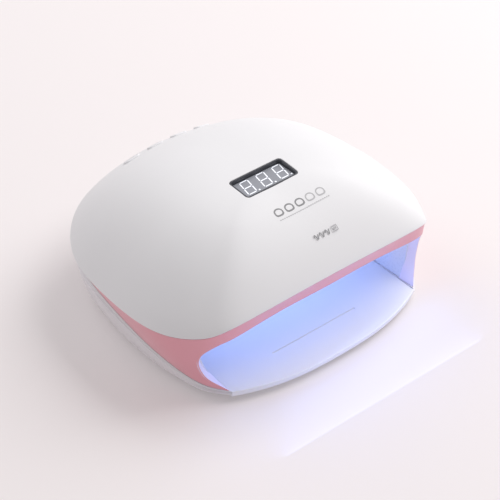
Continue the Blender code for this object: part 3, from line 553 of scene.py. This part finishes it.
def frame_grid(across, deep, steps):
    """Half of the frame, from the cover's edge to the opening and on to the liner's mouth."""
    v, t = np.meshgrid(np.linspace(0, 7, 1401), np.linspace(0, 1, 401), indexing="ij")
    cloud = frame_points(v.ravel(), t.ravel())
    lower = [(place, 0) for place in FRAME_TAIL_LOW]
    for x, z in OPENING:
        near = int(np.argmin(np.hypot(cloud[:, 0] - x, cloud[:, 2] - z)))
        lower.append((v.ravel()[near], t.ravel()[near]))
    lower = resample(lower, 1, steps)
    upper = resample([(place, 1) for place in FRAME_UPPER], 1, steps)
    foot = len(FRAME_TAIL_LOW) * steps
    for _ in range(steps):
        lower[foot + 1:-1] = (lower[foot:-2] + 2 * lower[foot + 1:-1] + lower[foot + 2:]) / 4
    rows = []
    for share in np.linspace(0, 1, across + 1) ** 0.7:
        path = upper + (lower - upper) * (share ** 4, share)
        rows.append(frame_points(path[:, 0], path[:, 1]))
    mouth = resample([(x, MOUTH_Y + 0.4 + MOUTH_LEAN * z, z) for x, z in LINER_MOUTH], 1, steps)
    edge = rows[-1][foot:]
    for share in np.linspace(0, 1, deep + 1)[1:]:
        rows.append(np.vstack([rows[across][:foot], edge + (mouth - edge) * share]))
    grid = np.array(rows)
    present = np.ones((grid.shape[0] - 1, grid.shape[1] - 1), bool)
    present[across:, :foot] = False
    near = np.clip(1.2 - np.abs(np.arange(len(grid)) - across) / 5, 0, 1)[1:-1, None, None]
    beside = grid[:, foot:]
    clear = np.clip((np.arange(beside.shape[1]) - 5) / 12, 0, 1)[None, :, None]
    for _ in range(4):
        smooth = (beside[:-2] + 2 * beside[1:-1] + beside[2:]) / 4
        beside[1:-1] += near * clear * (smooth - beside[1:-1])
    return grid, present, foot


def make_frame():
    """The side frame in two finishes: the pink outside, and the pale return into the opening, which carries a
    painted glow: an emission that stands in for the chamber's LED light falling on it.
    """
    across, deep = 22, 14
    half, present, foot = frame_grid(across, deep, 8)
    whole = np.concatenate([half, half[:, -2::-1] * (-1, 1, 1)], axis=1)
    present = np.concatenate([present, present[:, ::-1]], axis=1)
    normal = np.zeros_like(whole)
    a, b, c, d = whole[:-1, :-1], whole[:-1, 1:], whole[1:, 1:], whole[1:, :-1]
    face = np.cross(c - a, d - b)
    face /= np.linalg.norm(face, axis=2)[:, :, None] + 1e-9
    face = face * present[:, :, None]
    for rows, columns in ((slice(0, -1), slice(0, -1)), (slice(0, -1), slice(1, None)),
                          (slice(1, None), slice(1, None)), (slice(1, None), slice(0, -1))):
        normal[rows, columns] += face
    normal /= np.linalg.norm(normal, axis=2)[:, :, None] + 1e-9
    if normal[0, 0, 0] < 0:
        normal = -normal
    middle = whole.shape[1] // 2
    sign = 1.0 if normal[2, middle, 1] < 0 else -1.0
    taper = np.clip((across - np.arange(len(whole))) / 4, 0.15, 1)[:, None, None]
    inner = whole - sign * FRAME_WALL * taper * normal
    radial = (whole[across + 1:] - (0, 0, 20)) * (1, 0, 1)
    radial /= np.linalg.norm(radial, axis=2)[:, :, None]
    inner[across + 1:] = whole[across + 1:] + FRAME_WALL * (0.8 * radial + np.array((0, 0.4, 0)))
    inner[0, :, 2] = np.minimum(inner[0, :, 2], whole[0, :, 2])
    beside = ~present[-1]
    low = np.append(beside, True) & np.insert(beside, 0, True)
    inner[across, low, 2] = np.maximum(inner[across, low, 2], whole[across, low, 2])
    inner[:, :, 2] = np.maximum(inner[:, :, 2], OPENING[0][1] - 0.3)
    outer = present.copy()
    outer[across:] = False
    inside = present & ~outer
    # The return's material carries a painted glow, an emission standing in for the LED light on it.
    for name, part, material, finish in (("pink_frame", outer, PINK, "pink_abs"),
                                         ("frame_return", inside, RETURN_PAINTED_GLOW, "white_abs")):
        piece = new_piece(name, sheet(whole, inner, part), material, angle=50)
        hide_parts("side_frame")


# --- base ---------------------------------------------------------------------------------------

def make_base():
    """The base shell with its crease, vents, screw holes, inlet and the channel that the tray runs in."""
    edge = smooth_loop(BASE_EDGE)
    low = smooth_loop(BASE_LOW)
    drop = smooth_loop(CREASE_DROP)[:, 0]
    deep = np.clip((drop - 1) / 5, 0, 1)
    strip = offset(edge, -0.3 - 1.0 * deep, -0.55 * drop)
    crease = offset(edge, -0.4 - 1.5 * deep, -drop)
    ledge = offset(edge, -0.4 - 0.3 * deep, -drop - 0.2 - 0.5 * deep)
    below = offset(edge, -0.4 - 0.2 * deep, -drop - 0.5 - 0.9 * deep)
    bulge = offset(crease * 0.5 + low * 0.5, 1.4)
    bottom = offset(low, -6)
    bottom[:, 2] = BASE_BOTTOM
    near_bottom = offset(low, -3.2)
    near_bottom[:, 2] = BASE_BOTTOM + (low[:, 2] - BASE_BOTTOM) * 0.22
    side = [*catmull([offset(edge, 0.0, -0.35), strip, crease], 5), *catmull([crease, ledge], 3)[1:]]
    side += catmull([below, bulge, low, near_bottom, bottom], 6)
    outer = [offset(edge, -2.0, 0.0), offset(edge, -0.5, 0.0), offset(edge, -0.15, -0.12), *side]
    rim = offset(edge, -2.4, -0.2)
    inner_low = offset(low, -2.4)
    inner_low[:, 2] = BASE_FLOOR
    inside = [rim, rim * 0.66 + inner_low * 0.34, rim * 0.33 + inner_low * 0.67, inner_low,
              offset(inner_low, -14)]
    mesh = skin([*inside[::-1], *outer], caps=((0, 0, BASE_FLOOR), (0, 0, BASE_BOTTOM)))
    base = new_piece("base_body", mesh, BASE_WHITE)
    limit = TRAY_HALF + GAP
    profile = [(-130, 0), (TONGUE_START + 0.6, 0), (TONGUE_START + 0.6, 5.2), (TRAY_REAR + 2, 5.2),
               (TRAY_REAR + 2, 70), (-130, 70)]
    across = Matrix(((0, 0, 1, 0), (1, 0, 0, 0), (0, 1, 0, 0), (0, 0, 0, 1)))
    vents = [loft_outline(rounded(2.5, 34, 1.24, 5) + (x, 27), [(0, 0), (0, 7)]) for x in range(-42, 43, 12)]
    shanks = [turned([(1.9, 0), (1.9, 12)], Matrix.Translation((x, y, 0))) for x, y in SCREWS]
    heads = [turned([(3.8, 0), (3.5, 3.3), (3.5, 4.9)], Matrix.Translation((x, y, 0))) for x, y in SCREWS]
    turn = Matrix.Rotation(math.pi / 2, 4, "X")
    inlet = turned([(5.6, -20), (5.6, 20)], Matrix.Translation((0, 100, INLET_Z)) @ turn, 48)
    slot = rounded(2.5, 16, 1.24, 5)
    slots = [prism(slot, -30, 30, Matrix.Translation((sx * (34 + 6 * k), 95, INLET_Z)) @ turn)
             for sx in (-1, 1) for k in range(4)]
    cut(base, [prism(profile, -limit, limit, across), merge(vents), merge(shanks), merge(heads), inlet,
               merge(slots)])
    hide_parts("base_shell")


SCREWS = [(sx * x, y) for x, y in ((86.5, -44), (85.5, 33)) for sx in (-1, 1)]
FEET = [(sx * x, y) for x, y in ((72, -64), (64, 58)) for sx in (-1, 1)]


def make_fasteners():
    """Rubber feet, each with a ring groove round a raised pad, and cross-recessed screws."""
    for number, (x, y) in enumerate(FEET, 1):
        place = Matrix.Translation((x, y, 0))
        foot = new_piece(f"rubber_foot_{number}", turned(FOOT_PROFILE, place, 48), RUBBER)
        cut(foot, [turned([(FOOT_GROOVE_RADIUS, -1), (FOOT_GROOVE_RADIUS, 0.3)], place, 48)])
        pad = new_piece(f"foot_pad_{number}", turned(PAD_PROFILE, place, 48), RUBBER)
        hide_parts(f"foot_{number}")
    for number, (x, y) in enumerate(SCREWS, 1):
        place = Matrix.Translation((x, y, 0))
        screw = new_piece(f"cross_screw_{number}", turned(SCREW_PROFILE, place, 36), STEEL)
        recess = [spans((-1.7, -0.35, 0), (1.7, 0.35, 4.2)), spans((-0.35, -1.7, 0), (0.35, 1.7, 4.2))]
        for arm in recess:
            bmesh.ops.translate(arm, vec=(x, y, 0), verts=arm.verts)
        cut(screw, recess)
        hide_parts(f"base_screw_{number}")


# --- tray ---------------------------------------------------------------------------------------

def make_tray():
    """The floor tray: a smooth plate with a rounded, leaning nose and a fine groove across it."""
    xs = np.concatenate([np.linspace(-TRAY_HALF, -GROOVE_HALF - 0.6, 22), [-GROOVE_HALF, -GROOVE_HALF + 0.6],
                         np.linspace(-GROOVE_HALF + 3, GROOVE_HALF - 3, 22),
                         [GROOVE_HALF - 0.6, GROOVE_HALF], np.linspace(GROOVE_HALF + 0.6, TRAY_HALF, 22)])
    rings = []
    for x in xs:
        share = abs(x) / TRAY_HALF
        nose = TRAY_FRONT + (TRAY_CORNER_Y - TRAY_FRONT) * share ** 2.6
        top = TRAY_TOP - 0.25 * (1 - share ** 2)
        depth = 0.75 * min(1.0, max(0.0, (GROOVE_HALF - abs(x)) / 0.6))
        ring = [(TRAY_REAR, TRAY_UNDER), (TONGUE_START, TRAY_UNDER), (TONGUE_START, TONGUE_UNDER)]
        ring += [(nose + 1.5, TONGUE_UNDER), (nose + 0.9, TONGUE_UNDER + 0.12)]
        ring += [(nose + 0.5, TONGUE_UNDER + 0.45), (nose + 0.35, TONGUE_UNDER + 0.9)]
        ring += [(nose + 0.1, top - 1.4), (nose, top - 0.7)]
        ring += [(nose + 0.08, top - 0.3), (nose + 0.3, top - 0.08), (nose + 0.7, top)]
        ring += [(max(nose + 4, GROOVE_Y - 8), top), (GROOVE_Y - 1.5, top), (GROOVE_Y - 0.85, top)]
        ring += [(GROOVE_Y - 0.6, top - depth * 0.4), (GROOVE_Y - 0.4, top - depth * 0.85)]
        ring += [(GROOVE_Y, top - depth), (GROOVE_Y + 0.4, top - depth * 0.85)]
        ring += [(GROOVE_Y + 0.6, top - depth * 0.4), (GROOVE_Y + 0.85, top), (GROOVE_Y + 1.5, top)]
        ring += [(-60, top), (-20, top), (20, top), (TRAY_REAR, top)]
        rings.append([(x, y, z) for y, z in ring])
    mesh = skin(rings, caps=((), ()))
    tray = new_piece("floor_tray", mesh, TRAY, "tray_body", angle=38)
    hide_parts("tray")


# --- chamber ------------------------------------------------------------------------------------

def liner_solid(grow, floor):
    """The chamber's solid, grown by grow all round; two of them make the liner's wall."""
    levels = np.column_stack([LINER_LEVELS, LINER_FLARE])
    fine = catmull(list(levels), 6)
    ease = np.linspace(0, 1, 8)
    rings = []
    for k, (z, w, rear, flare) in enumerate(fine):
        height = floor if k == 0 else z + grow * (k / (len(fine) - 1))
        w, back, r = w + grow, rear + grow, LINER_CORNER + grow
        mouth = [(w + flare * (1 - e * e * (3 - 2 * e)), FLARE_START + (FLARE_END - FLARE_START) * e)
                 for e in ease]
        points = [(-w - flare, -130), (w + flare, -130), *mouth, (w, -20), (w, back - r)]
        points += [(w - r + r * math.cos(a), back - r + r * math.sin(a))
                   for a in np.linspace(0, math.pi / 2, 18)[1:-1]]
        points += [(w - r, back), (0, back), (-w + r, back)]
        points += [(-w + r + r * math.cos(a), back - r + r * math.sin(a))
                   for a in np.linspace(math.pi / 2, math.pi, 18)[1:-1]]
        points += [(-w, back - r), (-w, -20), *[(-x, y) for x, y in mouth[::-1]]]
        rings.append([(x, y, height) for x, y in points])
    return skin(rings, caps=((), ()))


def wall_frame(side, y, z):
    """Placement on a side wall of the chamber, with +Z pointing into it."""
    (z0, w0, _), (z1, w1, _) = LINER_LEVELS[1], LINER_LEVELS[2]
    x = w0 + (w1 - w0) * (z - z0) / (z1 - z0)
    lean = math.atan2(w1 - w0, z1 - z0)
    return Matrix.Translation((side * x, y, z)) @ Matrix.Rotation(-side * (math.pi / 2 - lean), 4, "Y")


def lamp_places():
    """Placement of every LED by the name of its CAD node."""
    places = {}
    for side, label in ((-1, "left"), (1, "right")):
        for k, y in enumerate(LED_SIDE_Y, 1):
            places[f"led_{label}_{k}"] = wall_frame(side, y, LED_SIDE_Z)
    down = Matrix.Rotation(math.pi, 4, "X")
    number = 0
    for y in LED_TOP_Y:
        for x in LED_TOP_X:
            number += 1
            places[f"led_top_{number}"] = Matrix.Translation((x, y, CHAMBER_ROOF)) @ down
    return places


def make_chamber():
    places = lamp_places()
    liner = new_piece("chamber_wall", liner_solid(LINER_WALL, 9.2), LINER)
    lean = math.atan(MOUTH_LEAN)
    mouth = spans((-130, -100, -150), (130, 0, 150))
    bmesh.ops.transform(mouth, matrix=Matrix.Translation((0, MOUTH_Y, 0)) @ Matrix.Rotation(-lean, 4, "X"),
                        verts=mouth.verts)
    holes = [turned([(3.5, -6), (3.5, 6)], place, 28) for place in places.values()]
    holes.append(turned([(2.9, 50), (2.9, 60)], Matrix.Translation((0, -34, 0)), 28))
    cut(liner, [liner_solid(0, 0), mouth, merge(holes)])
    ears = []
    for x, y in SCREWS:
        inner, outer = math.copysign(82, x), x + math.copysign(3.6, x)
        ears.append(spans((min(inner, outer), y - 6, 9.2), (max(inner, outer), y + 6, 13)))
    cut(liner, [merge(ears)], "UNION")
    cut(liner, [merge([turned([(1.9, 0), (1.9, 20)], Matrix.Translation((x, y, 0)), 20) for x, y in SCREWS])])
    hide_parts("chamber_liner")
    for name, place in places.items():
        bead = new_piece(f"{name}_bead", turned(LENS_PROFILE, place, 28), LENS, angle=50)
        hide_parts(name)


# --- display ------------------------------------------------------------------------------------

def make_display():
    top = float(DOME.height(0, WINDOW[1]))
    face = top - FACE_RECESS
    place = Matrix.Translation((WINDOW[0], WINDOW[1], 0))
    width, depth = WINDOW_SIZE
    inner_width, inner_depth = width - 2 * BEZEL_WALL, depth - 2 * BEZEL_WALL
    rim = rounded(width - 0.2, depth - 0.2, WINDOW_CORNER - 0.1)
    inner_rim = rounded(inner_width, inner_depth, WINDOW_CORNER - BEZEL_WALL)

    def ring(outline, shrink, drop=None, level=None):
        points = np.array(outline) * (1 - 2 * shrink / np.array((width, depth))) + WINDOW
        if level is None:
            return np.column_stack([points, DOME.height(points[:, 0], points[:, 1]) - drop])
        return np.column_stack([points, np.full(len(points), level)])

    rings = [ring(rim, 0, level=face - 0.9), ring(rim, 0, drop=0.45), ring(rim, 0.12, drop=0.3),
             ring(inner_rim, -0.1, drop=0.32), ring(inner_rim, 0, drop=0.42),
             ring(inner_rim, 0.05, level=face - 0.9)]
    bezel = new_piece("window_bezel", skin(rings, closed=True), BEZEL)
    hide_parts("display_bezel")
    plate = rounded(inner_width - 2 * GAP, inner_depth - 2 * GAP, 1.2)
    levels = [(0, face - 0.9), (0, face - 0.08), (0.1, face)]
    # The panel's slate is lightened so that it partly stands in for reflected light (painted reflection).
    panel = new_piece("segment_panel", loft_outline(plate, levels, place), SLATE_PAINTED_REFLECTION)
    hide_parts("display_face")
    wide, height = DIGIT_SIZE
    thick, slant, pitch = SEGMENT_WIDTH, DIGIT_SLANT, DIGIT_PITCH
    turns = np.linspace(0, 2 * math.pi, 17)[:-1]
    shapes = []
    for digit in range(3):
        cx, cy = WINDOW[0] + 1.2 + (digit - 1) * pitch, WINDOW[1] + 0.9
        bars = [((-1, 1), (1, 1)), ((-1, 0), (1, 0)), ((-1, -1), (1, -1)), ((-1, 0), (-1, 1)),
                ((1, 0), (1, 1)), ((-1, -1), (-1, 0)), ((1, -1), (1, 0))]
        for (x0, y0), (x1, y1) in bars:
            a = Vector((x0 * wide / 2, y0 * height / 2))
            b = Vector((x1 * wide / 2, y1 * height / 2))
            along = (b - a).normalized()
            side = Vector((-along.y, along.x)) * thick / 2
            a, b = a + along * 0.34, b - along * 0.34
            tip = along * thick / 2
            shapes.append([a, a + tip + side, b - tip + side, b, b - tip - side, a + tip - side])
        shapes[-7:] = [[Vector((p.x + p.y * slant + cx, p.y + cy)) for p in shape] for shape in shapes[-7:]]
        dot = Vector((cx + 4.3, cy - height / 2))
        shapes.append([dot + Vector((math.cos(a), math.sin(a))) * 0.65 for a in turns])
    meshes = [prism([tuple(p) for p in shape], face - 0.02, face + 0.06) for shape in shapes]
    segments = new_piece("lit_digits", merge(meshes), DIGIT, angle=20)


# --- printed marks ------------------------------------------------------------------------------

def stamp(name, shapes, centre, material, lift=0.05):
    """Flat outlines laid on the cover as thin printed ink, divided finely enough to follow it."""
    mesh = bmesh.new()
    for shape in shapes:
        points = np.array(shape, float) + centre
        verts = [mesh.verts.new((x, y, 0)) for x, y in points]
        mesh.faces.new(verts)
    bmesh.ops.triangulate(mesh, faces=mesh.faces)
    for _ in range(3):
        long_edges = [e for e in mesh.edges if e.calc_length() > 1.3]
        bmesh.ops.subdivide_edges(mesh, edges=long_edges, cuts=1)
        bmesh.ops.triangulate(mesh, faces=mesh.faces)
    x = np.array([v.co.x for v in mesh.verts])
    y = np.array([v.co.y for v in mesh.verts])
    for vert, z in zip(mesh.verts, DOME.height(x, y)):
        vert.co.z = z + lift
    for face in mesh.faces:
        if face.normal.z < 0:
            face.normal_flip()
    piece = new_piece(name, mesh, material, angle=None, flip=False)
    return piece


def bar(x0, y0, x1, y1, width):
    """The four corners of a straight stroke."""
    a, b = Vector((x0, y0)), Vector((x1, y1))
    side = (b - a).normalized().orthogonal() * width / 2
    return [tuple(a + side), tuple(b + side), tuple(b - side), tuple(a - side)]


def nail(cx, width, height, thick):
    """An outlined fingernail: a rounded tip over a squarer root, as a strip of quads."""
    outer, inner = [], []
    for k in range(28):
        angle = 2 * math.pi * k / 28
        c, s = math.cos(angle), math.sin(angle)
        power = 0.62 if s < 0 else 1.0
        x = math.copysign(abs(c) ** power, c) * width / 2
        y = math.copysign(abs(s) ** power, s) * height / 2
        outer.append((cx + x, y))
        inner.append((cx + x * (1 - 2 * thick / width), y * (1 - 2 * thick / height)))
    return [[outer[k], outer[(k + 1) % 28], inner[(k + 1) % 28], inner[k]] for k in range(28)]


def make_marks():
    """Generic printed marks: nail outlines over a dashed line, then waves beside a small badge."""
    dark = [q for k in range(3) for q in nail(-17.6 + 8.8 * k, 7.0, 5.7, 1.05)]
    pale = [q for k in range(3, 5) for q in nail(-17.6 + 8.8 * k, 7.0, 5.7, 0.9)]
    stamp("nail_marks_dark", dark, NAIL_MARKS, INK)
    stamp("nail_marks_pale", pale, NAIL_MARKS, PALE_INK)
    dashes = [bar(-20.5 + 1.7 * k, -5.2, -19.5 + 1.7 * k, -5.2, 0.55) for k in range(25)]
    stamp("dash_line", dashes, NAIL_MARKS, PALE_INK)
    waves = []
    for k in range(3):
        points = [(-9.6 + 4.6 * k + 0.42 * n, 1.5 * math.sin(n * 0.9)) for n in range(9)]
        waves += [bar(*p, *q, 0.62) for p, q in zip(points[:-1], points[1:])]
    badge = [bar(x0, y0, x1, y1, 0.5) for x0, y0, x1, y1 in
             ((5.4, -1.4, 9.6, -1.4), (5.4, 1.4, 9.6, 1.4), (5.4, -1.6, 5.4, 1.6), (9.6, -1.6, 9.6, 1.6))]
    stamp("wave_marks", waves, WAVE_MARKS, INK)
    stamp("badge_mark", badge + [bar(6.5, 0, 8.5, 0, 1.1)], WAVE_MARKS, PALE_INK)


# --- carried-over nodes, stage, light and camera ------------------------------------------------

def paint_nodes():
    """Procedural materials for the CAD nodes that are shown as they are."""
    # display_module wears the same slate, which is lightened partly as painted reflection.
    paint = {"display_module": SLATE_PAINTED_REFLECTION, "display_board": BOARD, "button_board": BOARD, "main_board": BOARD,
             "controller_chip": BLACK, "electrolytic_capacitor": BLACK, "power_inductor": BLACK,
             "buzzer": BLACK, "presence_sensor": BLACK, "dc_jack": BLACK, "led_board": BOARD,
             "switch_plunger": BLACK, "tact_switch": STEEL}
    for name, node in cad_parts.items():
        for start, material in paint.items():
            if name.startswith(start):
                node.data.materials.clear()
                node.data.materials.append(material)


def area(name, place, target, size, power, colour, size_y=None):
    """A rectangular area light, square unless size_y is given, turned towards a target."""
    data = bpy.data.lights.new(name, "AREA")
    data.shape = "RECTANGLE"
    data.size = size
    data.size_y = size_y or size
    data.energy = power
    data.color = colour
    made = bpy.data.objects.new(name, data)
    bpy.context.scene.collection.objects.link(made)
    made.location = place
    made.rotation_euler = (Vector(target) - Vector(place)).to_track_quat("-Z", "Y").to_euler()
    made.visible_camera = False
    return made


def make_stage():
    floor_colour = shader("studio_floor", (0.74, 0.70, 0.705), 0.6, mottle=0.004, mottle_scale=3, grain=400,
                          grain_height=0.02, rough_spread=0.03, specular=0.2, emission=(1.0, 0.955, 0.96),
                          strength=0.14)
    data = bpy.data.meshes.new("studio_floor")
    data.from_pydata([(-6, -6, 0), (6, -6, 0), (6, 6, 0), (-6, 6, 0)], [], [(0, 1, 2, 3)])
    data.materials.append(floor_colour)
    floor = bpy.data.objects.new("studio_floor", data)
    bpy.context.scene.collection.objects.link(floor)
    world = bpy.data.worlds.new("studio")
    world.use_nodes = True
    sky = world.node_tree.nodes["Background"]
    sky.inputs["Color"].default_value = (1.0, 0.965, 0.97, 1)
    sky.inputs["Strength"].default_value = 0.455
    bpy.context.scene.world = world
    bpy.context.scene.view_settings.view_transform = "Standard"
    area("key", (1.25, -0.1, 1.3), (0, 0, 0.05), 1.5, 27.0, (1.0, 0.99, 0.985))
    area("back_soft", (-0.5, 1.2, 1.1), (0, 0, 0.05), 1.3, 6.0, (1.0, 0.99, 0.99))
    glow = (0.28, 0.45, 1.0)
    for name, place, target, long, wide, power, colour in (
            ("chamber_glow", (0, -0.02, 0.0545), (0, -0.02, 0), 0.13, 0.09, 0.052, glow),
            ("mouth_glow", (0.01, -0.112, 0.035), (0.02, -0.19, 0.0), 0.15, 0.04, 0.012, (0.26, 0.42, 1.0)),
            ("front_bounce", (0, -0.155, 0.004), (0, -0.09, 0.055), 0.17, 0.03, 0.034, (0.28, 0.38, 1.0))):
        area(name, place, target, long, power, colour, size_y=wide).visible_glossy = False


def make_camera():
    data = bpy.data.cameras.new("camera")
    data.sensor_width = 36
    data.lens = 133.5
    data.clip_start = 0.05
    camera = bpy.data.objects.new("camera", data)
    bpy.context.scene.collection.objects.link(camera)
    right, up = Vector((0.769, -0.639, 0)).normalized(), Vector((0.3985, 0.480, 0.7815)).normalized()
    back = right.cross(up).normalized()
    up = back.cross(right)
    turn = Matrix((right, up, back)).transposed().to_4x4()
    camera.matrix_world = Matrix.Translation((-0.6292, -0.7705, 0.8219)) @ turn
    bpy.context.scene.camera = camera


make_camera()
make_stage()
make_cover()
make_buttons()
make_frame()
make_base()
make_fasteners()
make_tray()
make_chamber()
make_display()
make_marks()
paint_nodes()
